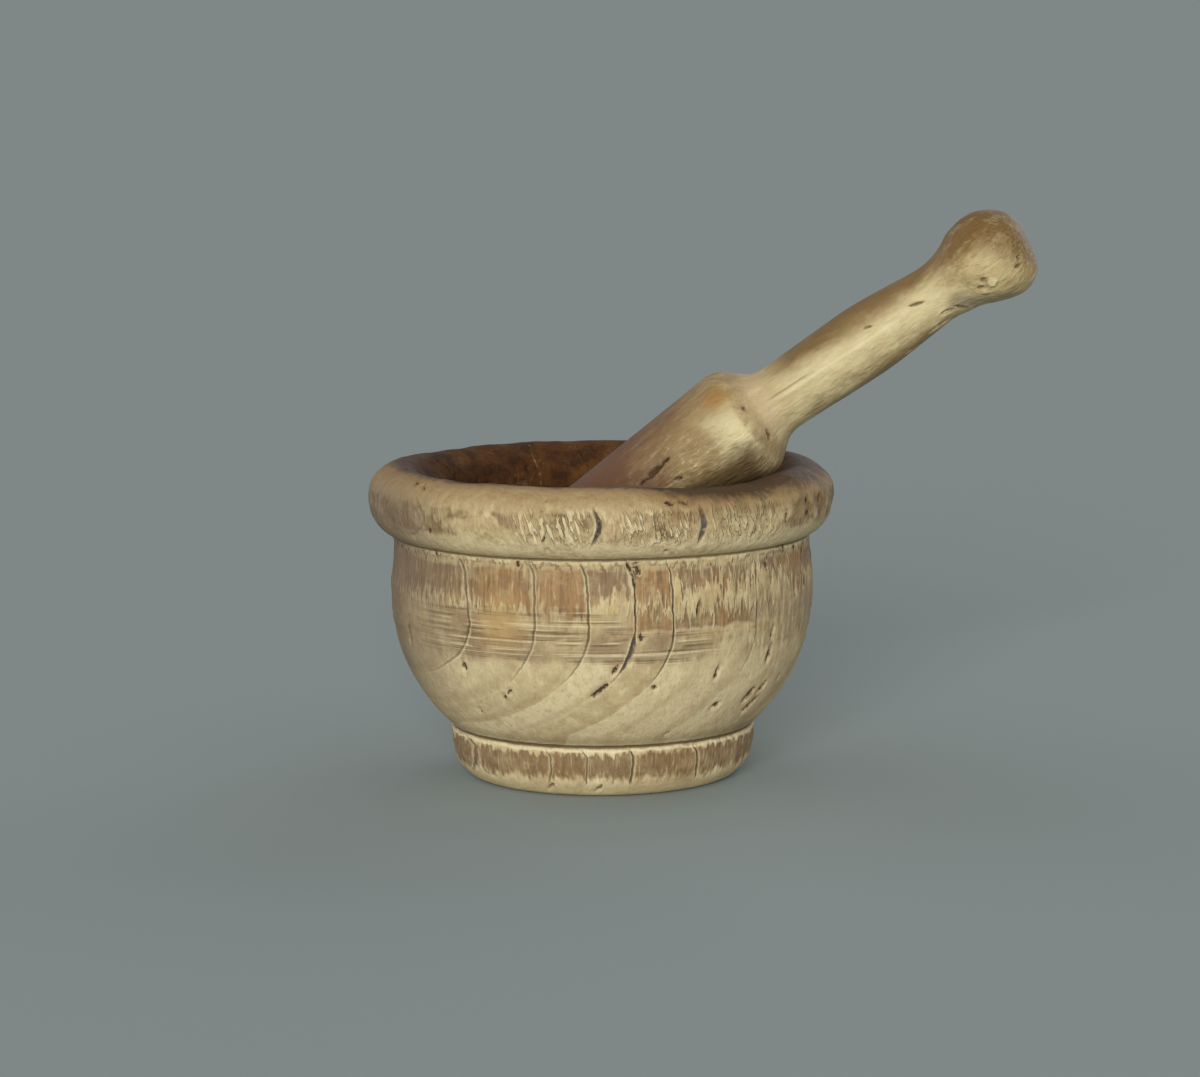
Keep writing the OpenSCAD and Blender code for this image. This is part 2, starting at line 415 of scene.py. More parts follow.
def mortarOutline(dial):
    foot, wall, rim, bowl = dial["foot"], dial["wall"], dial["rim"], dial["bowl"]
    footTop, groove, widest, lip = mortarHeights(dial)
    flat = foot["flat"] / 2
    footR = foot["d"] / 2
    seamR = footR - foot["crease"]
    rise = wall["bellyZ"] - footTop
    spread = wall["belly"] / 2 - seamR
    wallRound = (rise ** 2 + spread ** 2) / (2 * spread)
    wallTurn = degrees(asin(rise / wallRound))
    rollX = rim["d"] / 2 - rim["roll"]
    grooveTurn = degrees(asin((widest - groove) / rim["roll"]))
    crestR = rim["crest"] / 2
    mouthR = bowl["mouth"] / 2
    footLine = joined(
        arc(flat, foot["widest"], footR - flat, foot["widest"], -90, 0),
        arc(seamR, foot["widest"], foot["crease"], footTop - foot["widest"], 0, 90))
    wallLine = joined(
        arc(wall["belly"] / 2 - wallRound, wall["bellyZ"], wallRound, wallRound, -wallTurn, 0),
        easeLine(wall["belly"] / 2, wall["bellyZ"], wall["neck"] / 2, groove))
    rimLine = joined(
        arc(rollX, widest, rim["roll"], rim["roll"], -grooveTurn, 0),
        crown(crestR, widest, rim["d"] / 2 - crestR, rim["crestDrop"], rim["square"]))
    lipLine = arc(crestR, lip, crestR - mouthR, rim["lipDrop"], 90, 180)
    bowlLine = arc(0, lip - bowl["throat"], mouthR, mouthR, 0, -90)
    outer = joined(*[walk(line, dial["rowStep"]) for line in (footLine, wallLine, rimLine)])
    under = walk([(0, 0), (flat, 0)], flat / 4)
    lipRows = walk(lipLine, dial["rowStep"])
    bowlRows = walk(joined([lipLine[-1]], bowlLine), dial["innerStep"])
    return joined(under, outer, lipRows, bowlRows), outer, joined(lipRows, bowlRows)


def ringIndex(field, rings):  # 0 on the first growth ring and 1 on the second, and the line's strength
    low = rings[0][0]
    span = rings[-1][0] - low
    last = len(rings) - 1
    stops = [((place - low) / span, i / last) for i, (place, _) in enumerate(rings)]
    strengths = [((place - low) / span, strength) for place, strength in rings]
    share = (field - low) / span
    index = field.node("ShaderNodeValToRGB", {"stops": stops}, {0: share}) * last
    return index, field.node("ShaderNodeValToRGB", {"stops": strengths}, {0: share}) + 0.0


def mortarWood(point, dial, seed):  # the fields that both the shape and the finish follow
    x, y, z = point.parts()
    footTop, groove, _, lip = mortarHeights(dial)
    face = dial["rim"]["face"]
    bend, patches, scratches = dial["ringBend"], dial["patches"], dial["scratches"]
    out = (x * x + y * y).math("SQRT")
    bowlGap = point.vector("DISTANCE", (0, 0, lip - dial["bowl"]["throat"]), "Value")

    # the growth rings lean and bend, and hook at the tops of the wall and the foot
    wander = (noise(point, even(0.05), seed) - 0.5) * 3 + (noise(point, even(0.45), seed + 1) - 0.5) * 0.9
    below = (bend["from"] - z).clamp(0.0, bend["over"])
    pull = below * below * bend["pull"] * z.ease(footTop - 0.5, footTop - 0.3)
    rimBow = abs(z - face).ease(6.5, 0.0) * 1.5
    hook = z.ease(groove - 4.5, groove - 0.5) * z.ease(groove + 0.2, groove)
    hook = hook + z.ease(footTop - 2.9, footTop - 0.5) * z.ease(footTop, footTop - 0.2)
    field = x + y * dial["ringTilt"] + pull - rimBow + hook * 1.3 + wander
    foot = z.ease(footTop - 0.2, footTop - 0.4)
    over = z.ease(groove, groove + 0.2)
    index, strength = ringIndex(field, dial["rings"]["wall"])
    for zone, name in ((foot, "foot"), (over, "rim")):
        ownIndex, ownStrength = ringIndex(field, dial["rings"][name])
        index = index + (ownIndex - index) * zone
        strength = strength + (ownStrength - strength) * zone
    gap = (index - index.math("ROUND")) * dial["ringGap"]
    cell = index.math("FLOOR")
    luck = index.node("ShaderNodeTexWhiteNoise", {"noise_dimensions": "1D"}, {"W": cell * 0.37 + seed})

    fibre = noise(point, (0.55, 0.55, 0.07), seed + 2, 3.0, 0.5)
    fibreFine = noise(point, (1.3, 1.3, 0.12), seed + 3, 2.0, 0.5)
    flame = noise(point, (0.85, 0.85, 0.11), seed + 10, 2.0, 0.5)
    leaning = point.node("ShaderNodeCombineXYZ", None, {0: x + z * 0.25, 1: y, 2: z})
    torn = noise(leaning, (0.95, 0.95, 0.2), seed + 4, 2.0, 0.5)
    turning = noise(point, (0.014, 0.014, 1.4), seed + 5, 3.0, 0.6)
    cloud = noise(point, even(0.07), seed + 6, 3.0, 0.55)
    edge = noise(point, (0.35, 0.35, 0.1), seed + 7) - 0.5
    inner = (bowlGap + (cloud - 0.5) * 5 - y.ease(0, 40) * 5).ease(55.5, 49.5)
    outside = bowlGap.ease(55.3, 55.7)

    # brown end grain: flames down the wall, and a band each round the rim and the foot
    right = x.ease(-4, 12)
    low, flames = patches["low"], patches["flames"]
    flameLow = flames + right * 4 + (luck - 0.5) * 4 + (cloud - 0.5) * 10
    upper = (z + edge * 5 + (flame - 0.5) * 6).ease(groove - 0.6, groove - 1.8)
    upper = upper * (z + (flame - 0.5) * (14 + right * 12)).ease(flameLow - 2, flameLow + 1.2)
    upper = upper * z.ease(low - 1, low + 1)
    lower = (z + edge * 3).ease(low - 1.4, low + 0.4) * (z + (flame - 0.5) * 20).ease(flames, flames - 2.4)
    lower = lower * right * x.ease(58, 34)
    wallPatch = upper.math("MAXIMUM", lower) * z.ease(groove - 0.2, groove - 0.8)
    rimBand = (z + edge * 2).band(face - 3.4, face + 3.6, 0.6) * out.ease(58.5, 60)
    rimPatch = rimBand * (noise(point, (0.17, 0.17, 0.14), seed + 8) + luck * 0.16 - 0.08).ease(0.46, 0.6)
    footEdge = z + edge * 4 + (flame - 0.5) * 6
    footPatch = footEdge.ease(footTop - 1, footTop - 2.3) * footEdge.ease(4.2, 6.4)
    patch = (wallPatch + rimPatch + footPatch).math("MINIMUM", 1.0) * outside
    patch = patch * (1 - gap.band(-0.5, 0.0, 0.25) * 0.7)

    # fibres torn out of the rim's face, and scratches from the lathe round the wall
    backTorn = noise(point, even(0.055), seed + 9).ease(0.5, 0.62) * y.ease(-10, 20) * 0.8
    tornSpread = (spots(point, dial["torn"]) * 2 + backTorn).math("MINIMUM", 1.0)
    tornMask = z.band(face - 4.4, face + 4.4, 1.6) * out.ease(58, 60) * tornSpread
    scratched = (z + edge * 6).band(scratches["low"], scratches["high"] - right * 5, 1.5) * outside
    return {"x": x, "y": y, "z": z, "out": out, "bowlGap": bowlGap, "gap": gap, "luck": luck,
            "strength": strength, "fibre": fibre, "fibreFine": fibreFine, "flame": flame, "torn": torn,
            "tornMask": tornMask, "turning": turning, "cloud": cloud, "inner": inner, "outside": outside,
            "patch": patch, "scratched": scratched}


def ringCuts(point, wood, dial):  # how open each growth ring's line is, and where it gapes
    z = wood["z"]
    footTop, groove, _, _ = mortarHeights(dial)
    face = dial["rim"]["face"]
    zone = z.band(face - 4.5, face + 4.5, 1.5) + z.band(44, groove - 0.5, 2)
    zone = zone + z.band(4, footTop - 0.5, 0.8) + z.band(34, 44, 3) * 0.6
    line = zone.math("MINIMUM", 1.0) * wood["strength"] * wood["outside"]
    gaping = spots(point, dial["gaping"]) * (wood["flame"] + (wood["cloud"] - 0.5) * 2).ease(0.34, 0.5)
    return line, gaping.math("MINIMUM", 1.0)


def mortarTree(dial):
    entry = startTree("Turned mortar", latheInputs)
    skin = turned(entry)
    place = skin.node("GeometryNodeInputPosition")
    point = place.scaled(1 / mm)
    seed = entry["Seed"]
    wood = mortarWood(point, dial, seed)
    line, gaping = ringCuts(point, wood, dial)
    mark = markField(entry, place)
    z, top = wood["z"], dial["rim"]["top"]
    _, groove, _, _ = mortarHeights(dial)
    slack = noise(point, even(0.018), seed + 20) * 0.4
    lumps = noise(point, even(0.12), seed + 21, 3.0) * (0.3 + z.ease(groove + 1, groove + 5) * 0.4)
    lineCut = abs(wood["gap"]).ease(0.7, 0.0) * line * 0.16
    crack = abs(wood["gap"]).ease(0.8, 0.1) * gaping * 0.9
    hole = mark.ease(1.5, 0.4) * 1.1
    ragged = wood["patch"] * (0.22 + wood["fibre"] * 0.35)
    tornCut = wood["tornMask"] * wood["torn"].ease(0.62, 0.40) * 0.38
    turnedCut = wood["scratched"] * wood["turning"].ease(0.62, 0.42) * 0.22
    sag = noise(point, even(0.045), seed + 22).ease(0.35, 0.7) * 0.6 + spot(point, *dial["sag"]) * 1.2
    sag = sag * z.ease(top - 7, top - 1)
    cuts = (lineCut + crack + ragged + tornCut + turnedCut) * wood["outside"]
    aboveFloor = z.ease(0.0, 2.0)
    finishTree(entry, skin, (slack + lumps + sag + cuts + hole) * aboveFloor, mark)
    return skin.tree


mortarTones = {
    "tan": tone(174, 152, 110), "pale": tone(196, 178, 134), "cream": tone(218, 202, 160),
    "pink": tone(174, 146, 112), "gold": tone(196, 168, 108), "brown": tone(150, 124, 84),
    "orange": tone(148, 112, 72), "mauve": tone(128, 103, 78), "patch": tone(124, 98, 66),
    "umber": tone(100, 76, 50), "dark": tone(58, 42, 30), "slate": tone(84, 76, 72),
    "grooveDark": tone(86, 68, 42), "glow": tone(186, 154, 98), "grimeAndSideShade": tone(118, 100, 80),
    "rust": tone(132, 100, 56), "lipStain": tone(108, 84, 58), "lipDark": tone(60, 43, 26),
    "bowl": tone(70, 41, 14), "bowlLight": tone(92, 58, 24), "bowlDark": tone(44, 25, 10),
}


def endGrain(wood, tones, speck, blotch, groove):  # the brown patches, warmer on the wall than elsewhere
    luck, cloud, streak, fine = wood["luck"], wood["cloud"], wood["fibre"], wood["fibreFine"]
    hue = (luck * 0.5 + (cloud - 0.5) * 3 + (streak - 0.5) * 1.5 + 0.25).ease(0.2, 0.8)
    colour = hue.blend(tones["orange"], tones["mauve"])
    colour = (wood["z"].band(44, groove, 1) * -0.85 + 0.85).blend(colour, tones["patch"])
    colour = (fine.ease(0.48, 0.7) * speck.ease(0.4, 0.6) * 0.7).blend(colour, tones["pale"])
    colour = (streak.ease(0.52, 0.36) * 0.45).blend(colour, tones["umber"])
    colour = (fine.ease(0.5, 0.34) * speck.ease(0.58, 0.42) * 0.7).blend(colour, tones["umber"])
    return (blotch.ease(0.5, 0.64) * 0.4).blend(colour, tones["tan"])


def bowlWood(wood, tones, speck, blotch, grain):  # the dark wood inside, with a few pale ring lines
    colour = wood["cloud"].ease(0.35, 0.68).blend(tones["bowl"], tones["bowlLight"])
    colour = (speck.ease(0.5, 0.68) * 0.5).blend(colour, tones["bowlDark"])
    colour = (blotch.ease(0.46, 0.6) * 0.75).blend(colour, tones["bowlDark"])
    colour = (blotch.ease(0.44, 0.34) * grain.ease(0.4, 0.65) * 0.2).blend(colour, tones["brown"])
    ringLine = abs(wood["gap"] - 0.2).ease(0.4, 0.1) * wood["luck"].ease(0.55, 0.75) * speck.ease(0.45, 0.6)
    colour = (ringLine * 0.35).blend(colour, tones["pink"])
    return (wood["fibre"].ease(0.55, 0.7) * 0.4).blend(colour, tones["bowlLight"])


def mortarFinish(dial, tones):
    material, shader, place = startMaterial("wornMortarWood", dial["gloss"])
    point = place.scaled(1 / mm)
    seed = dial["seed"]
    wood = mortarWood(point, dial, seed)
    x, y, z = wood["x"], wood["y"], wood["z"]
    footTop, groove, _, _ = mortarHeights(dial)
    top, face = dial["rim"]["top"], dial["rim"]["face"]
    line, gaping = ringCuts(point, wood, dial)
    mark = place.node("ShaderNodeAttribute", {"attribute_name": "mark"}, None, "Fac")
    grain = noise(point, (1.3, 1.3, 0.6), seed + 30, 4.0, 0.6)
    speck = noise(point, (0.5, 0.5, 0.3), seed + 31, 3.0, 0.6)
    blotch = noise(point, (0.14, 0.14, 0.2), seed + 34, 3.0, 0.55)
    pores = noise(point, (1.7, 1.7, 0.22), seed + 36, 2.0, 0.6)
    streak, fine, luck, cloud = wood["fibre"], wood["fibreFine"], wood["luck"], wood["cloud"]
    gap, outside, torn, turning = wood["gap"], wood["outside"], wood["torn"], wood["turning"]
    patch, tornMask, scratched = wood["patch"], wood["tornMask"], wood["scratched"]

    # bare wood
    low = z.ease(46, 34) * outside
    colour = blotch.ease(0.38, 0.62).blend(tones["tan"], tones["pale"])
    colour = (cloud.ease(0.48, 0.64) * 0.5).blend(colour, tones["pink"])
    colour = (low * (0.15 + luck * 0.55)).blend(colour, tones["cream"])
    colour = (speck.ease(0.5, 0.7) * (0.6 - low * 0.4)).blend(colour, tones["brown"])
    colour = (speck.ease(0.47, 0.3) * 0.45).blend(colour, tones["cream"])
    colour = (pores.ease(0.6, 0.7) * 0.4).blend(colour, tones["brown"])
    colour = (streak.ease(0.52, 0.66) * z.band(46, groove - 1, 3) * 0.4).blend(colour, tones["gold"])
    colour = (gap.band(-3.4, -0.3, 1.4) * low * 0.3).blend(colour, tones["brown"])
    colour = (blotch.ease(0.5, 0.62) * low * speck.ease(0.35, 0.6) * 0.4).blend(colour, tones["pink"])

    # brown patches with a pale edge
    colour = (patch * 0.9).blend(colour, endGrain(wood, tones, speck, blotch, groove))
    flare = patch * (1 - patch) * 4
    colour = (flare * z.band(44, groove - 1, 2) * 0.3).blend(colour, tones["cream"])

    # torn fibres on the rim, and the lathe's scratches round the wall
    colour = (tornMask * torn.ease(0.5, 0.4) * 0.25).blend(colour, tones["patch"])
    colour = (tornMask * torn.ease(0.52, 0.6) * 0.75).blend(colour, tones["cream"])
    colour = (tornMask * torn.band(0.488, 0.508, 0.014) * 0.25).blend(colour, tones["umber"])
    side = abs(x + 8).ease(46, 26)
    colour = (scratched * side * (cloud.ease(0.36, 0.6) * 0.5 + 0.2)).blend(colour, tones["mauve"])
    dash = noise(point, (0.1, 0.1, 0.4), seed + 32).ease(0.4, 0.52) * scratched * side
    colour = (dash * turning.ease(0.52, 0.6) * 0.65).blend(colour, tones["cream"])
    colour = (dash * turning.ease(0.47, 0.4) * 0.6).blend(colour, tones["umber"])
    colour = (spot(point, (-26, -50, 48), 11) * 0.7).blend(colour, tones["glow"])

    # growth rings: a dark line with a pale one beside it
    width = 0.13 + (speck - 0.5) * 0.3 + gaping * 0.7
    faint = z.band(footTop + 0.1, 44, 2) * outside * wood["strength"] * 0.5
    colour = (gap.band(0.25, 0.55, 0.2) * (line * 0.5 + faint)).blend(colour, tones["cream"])
    colour = (spot(point, (40, -48, face), 20) * 0.6 + z.ease(4.5, 2) * 0.7).blend(colour, tones["pale"])
    colour = (gap.band(-1.2, -0.6, 0.3) * gaping * 0.85).blend(colour, tones["cream"])
    dark = abs(gap).ease(width + 0.22, width * 0.4) * (line * 0.85 + gaping).math("MINIMUM", 1.0)
    colour = dark.blend(colour, gaping.blend(tones["grooveDark"], tones["slate"]))

    # pale edges, and painted shade as thin dark lines in the creases under the rim and over the foot
    wobble = (noise(point, even(0.25), seed + 33) - 0.5) * 1.4
    wallEdge = (z + wobble).band(groove - 1, groove - 0.2, 0.3) * outside
    colour = (wallEdge * (0.2 + cloud * 0.6)).blend(colour, tones["cream"])
    colour = ((z + wobble * 1.4).band(footTop - 1.2, footTop - 0.5, 0.25) * 0.8).blend(colour, tones["cream"])
    # painted shade: thin dark lines in the creases under the rim and over the foot
    creaseShade = abs(z + wobble * 0.2 - (groove + 0.1)).ease(0.55, 0.1) * outside * wood["out"].ease(58, 57)
    creaseShade = creaseShade.math("MAXIMUM", abs(z + wobble * 0.25 - (footTop + 0.2)).ease(0.6, 0.15))
    colour = (creaseShade * 0.9).blend(colour, tones["grooveDark"])
    colour = (z.band(groove + 1, groove + 5, 2) * outside * 0.6).blend(colour, tones["cream"])
    blotched = z.ease(groove + 0.5, groove + 2)
    colour = (blotched * blotch.ease(0.5, 0.6) * speck.ease(0.3, 0.6) * 0.45).blend(colour, tones["brown"])
    colour = (blotched * blotch.ease(0.46, 0.38) * 0.4).blend(colour, tones["pale"])
    shade = z.band(footTop + 0.5, footTop + 3.1, 1.4)
    colour = (shade * (0.2 + cloud * 0.3)).blend(colour, tones["grooveDark"])

    # stains and painted shade: the ends of the rim (grime with painted shade of the sides), the rim's top
    # (stain with painted shade), the sides, the lip (stain with a painted pestle shadow) and the bowl
    # the left and right ends in x go darker grey-mauve: grime, together with painted shade of the sides that
    # the front sees edge-on
    sideShadeAndGrime = abs(x - 8).ease(42, 64) * (0.5 + cloud * 0.7)
    colour = sideShadeAndGrime.math("MINIMUM", 1.0).blend(colour, tones["grimeAndSideShade"])
    # brown stain on the rim's top, which also paints shade on the top, where the low front light reaches it
    # less
    colour = (z.band(top - 5, top + 1, 3) * (0.35 + speck * 0.8)).blend(colour, tones["brown"])
    grimy = x.ease(30, 42) * z.band(38, 57, 4) * outside
    colour = (grimy * streak.ease(0.42, 0.58) * 0.5).blend(colour, tones["grimeAndSideShade"])
    # the lip's stains reach further at the right front, under the pestle: darker patina together with a
    # painted shadow of the pestle
    pestleShadowReach = x.ease(6, 24) * y.ease(22, 2)
    back = y.ease(-15, 25)
    near = wood["bowlGap"] + (speck - 0.5) * 5 + (cloud - 0.5) * 5
    topSide = z.ease(face, face + 4)
    rustStainAndShadow = (near - pestleShadowReach * 4.4 - back * 4).ease(60.5, 57) * topSide
    stained = (near - back * 4).ease(58, 56.2) * topSide
    darkStainAndShadow = (near - pestleShadowReach * 5.4 - back * 3).ease(57.4, 54.2) * topSide
    colour = (rustStainAndShadow * 0.6).blend(colour, tones["rust"])
    colour = (stained * 0.85).blend(colour, tones["lipStain"])
    colour = (darkStainAndShadow * 0.88).blend(colour, tones["lipDark"])
    colour = wood["inner"].blend(colour, bowlWood(wood, tones, speck, blotch, grain))

    # pits and slits
    ragged = mark + (grain - 0.5) * 1.8 + (pores - 0.5) * 1.4
    colour = (ragged.ease(1.7, 0.9) * 0.5).blend(colour, tones["umber"])
    colour = (ragged.ease(1.15, 0.6) * 0.9).blend(colour, tones["dark"])
    colour = (grain.ease(0.5, 0.75) * 0.28).blend(colour, tones["umber"])

    roughness = 0.62 + (grain - 0.5) * 0.3 + wood["inner"] * 0.25
    relief = (grain - 0.5) * 0.12 + (speck - 0.5) * (0.35 + z.ease(groove + 1, groove + 5) * 0.35)
    relief = relief + (fine - 0.5) * 0.35 * (patch + 0.1)
    relief = relief - dark * 0.35 - patch * z.band(44, groove, 1) * 0.3
    relief = relief + tornMask * torn.ease(0.46, 0.56) * 0.36
    relief = relief + dash * (turning - 0.5) * 0.9 - creaseShade * 0.4
    finishMaterial(shader, colour, roughness, relief)
    return material


def makeMortar(dial):
    rows, outer, inner = mortarOutline(dial)
    marks = markDots(dial["marks"] + farMarks(dial["farMarks"]), outer)
    dots = markObject("mortarMarks", marks, markDots(dial["bowlMarks"], inner))
    finish = mortarFinish(dial, mortarTones)
    return makePiece("turned_mortar", dial, rows, dots, finish, mortarTree(dial))


# Pestle

pestle = {
    "head": {"tip": 18.6, "d": 31.7, "length": 88.5, "round": 7.8, "slope": 40, "fillet": 8},
    "grip": {"d": 18.7, "swell": 19.8, "swellAt": 25, "length": 54.4, "collar": 16.2},
    "knob": {"d": 25.7, "low": 12.6, "high": 10.8, "square": 2.3, "flare": 5},
    "lean": 34.2,  # degrees above the floor
    "heading": -12,  # degrees round from +X
    "steps": 220,
    "rowStep": 0.52,
    "wear": 1.0,
    "gloss": 0.3,
    "seed": 40.0,
    "marks": [
        (-7, 61.6, -10, 3, 0.8), (-9.5, 65.6, -8, 7.5, 1.6), (-12, 69.5, -10, 3.5, 0.8),
        (34, 96.1, -75, 3.2, 0.8), (-13, 95.1, 80, 1.6, 0.8), (12, 70.1, 20, 2.4, 0.9),
        (-4, 146.8, 20, 4.4, 0.7), (-16.5, 133, 20, 2.8, 0.5), (44, 152.0, 15, 3.2, 1.2),
        (64, 147.5, 5, 5.8, 1.1), (72, 138.9, 5, 5.0, 1.0), (32, 174.4, 20, 1.8, 1.2),
        (24, 175.8, 60, 1.2, 1.0), (19, 164.9, 0, 1.6, 1.2), (27, 163.1, 30, 1.6, 1.2),
        (59, 164.3, 0, 2.0, 1.0), (51, 155.4, 60, 4.0, 0.8),
    ],
    "farMarks": {"count": 22, "seed": 5, "turn": (90, 270), "heights": [(50, 172)],
                 "lean": (-12, 12), "length": (1.5, 5), "width": (0.7, 1.3)},
    "chips": [((5.8, -11, 166.5), 2.4), ((7.4, -10, 163.2), 2.2)],
    "facets": [  # the knob is worn flat here: which way each one faces, and how far it is from the middle
        ((-0.85, -0.1, 0.53), 12.2),
        ((0.12, 0.0, 1.0), 10.3),
        ((0.9, -0.2, -0.35), 11.6),
    ],
    "facetSoft": 2.4,
}


def pestleOutline(dial):
    head, grip, knob = dial["head"], dial["grip"], dial["knob"]
    tipR = head["tip"] / 2
    gripR = grip["d"] / 2
    collarR = grip["collar"] / 2
    knobR = knob["d"] / 2
    slope = radians(head["slope"])
    roundX = head["d"] / 2 - head["round"]
    rise = head["length"] - tipR
    taper = degrees(atan2(roundX, rise) - asin((tipR - head["round"]) / hypot(roundX, rise)))
    slopeX = roundX + head["round"] * cos(slope)
    hollowX = gripR + head["fillet"] * (1 - cos(slope))
    hollowZ = head["length"] + head["round"] * sin(slope) + (slopeX - hollowX) / tan(slope)
    gripZ = hollowZ + head["fillet"] * sin(slope)
    swellZ = gripZ + grip["swellAt"]
    collarZ = gripZ + grip["length"]
    knobZ = collarZ + knob["low"]
    knobFall = knob["low"] / sqrt(1 - (collarR / knobR) ** 2)
    line = joined(
        arc(0, tipR, tipR, tipR, -90, -taper),
        arc(roundX, head["length"], head["round"], head["round"], -taper, head["slope"]),
        arc(gripR + head["fillet"], gripZ, head["fillet"], head["fillet"], 180 + head["slope"], 180),
        easeLine(gripR, gripZ, grip["swell"] / 2, swellZ),
        easeLine(grip["swell"] / 2, swellZ, collarR, collarZ),
        arc(0, knobZ, knobR, knobFall, -degrees(acos(collarR / knobR)), 0),
        crown(0, knobZ, knobR, knob["high"], knob["square"]))
    line = walk(softened(line, (collarR, collarZ), knob["flare"]), dial["rowStep"])
    return line, knobZ


def pestleFrame(dial):  # the pestle's own frame: its tip's place and its turn
    turn = Euler((0, radians(90 - dial["lean"]), radians(dial["heading"])))
    matrix = turn.to_matrix()
    inverse = matrix.transposed()
    corners = [inverse @ v.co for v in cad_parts["pestle"].data.vertices]
    low = Vector([min(c[axis] for c in corners) for axis in range(3)])
    high = Vector([max(c[axis] for c in corners) for axis in range(3)])
    tip = matrix @ Vector(((low.x + high.x) / 2, (low.y + high.y) / 2, low.z))
    return tip, turn


def pestleWood(point, seed):
    x, y, z = point.parts()
    return {"x": x, "y": y, "z": z,
            "cloud": noise(point, (0.10, 0.10, 0.045), seed, 3.0, 0.55),
            "fibre": noise(point, (0.55, 0.55, 0.04), seed + 1, 3.0, 0.6),
            "fine": noise(point, (1.8, 1.8, 0.12), seed + 2, 3.0, 0.6),
            "mottle": noise(point, (0.28, 0.28, 0.14), seed + 3, 3.0, 0.6),
            "flake": noise(point, (0.9, 0.9, 0.28), seed + 4, 3.0, 0.6)}


def pestleTree(dial, knobZ):
    entry = startTree("Turned pestle", latheInputs)
    skin = turned(entry)
    place = skin.node("GeometryNodeInputPosition")
    point = place.scaled(1 / mm)
    seed = entry["Seed"]
    wood = pestleWood(point, seed)
    mark = markField(entry, place)
    slack = noise(point, even(0.03), seed + 20) * 0.35
    lumps = noise(point, even(0.14), seed + 21, 3.0) * 0.25
    ribs = abs(wood["fibre"] - 0.5) * 0.3
    depth = slack + lumps + ribs + mark.ease(1.6, 0.4) * 1.0
    fromKnob = point.vector("SUBTRACT", (0.0, 0.0, knobZ))
    for normal, reach in dial["facets"]:
        unit = Vector(normal).normalized()
        over = fromKnob.vector("DOT_PRODUCT", tuple(unit), "Value") - reach
        flattened = over.math("SMOOTH_MAX", 0.0, dial["facetSoft"])
        depth = depth + flattened * wood["z"].ease(knobZ - 14, knobZ - 8)
    finishTree(entry, skin, depth, mark)
    return skin.tree


pestleTones = {
    "tan": tone(172, 152, 108), "pale": tone(194, 177, 132), "cream": tone(212, 197, 150),
    "brown": tone(134, 108, 68), "umber": tone(104, 78, 46), "dark": tone(54, 38, 26),
    "red": tone(94, 60, 38), "honey": tone(160, 134, 82), "gold": tone(110, 82, 40),
    "pink": tone(180, 157, 121), "slate": tone(128, 124, 104), "stain": tone(148, 106, 40),
    "olive": tone(84, 66, 38),
}


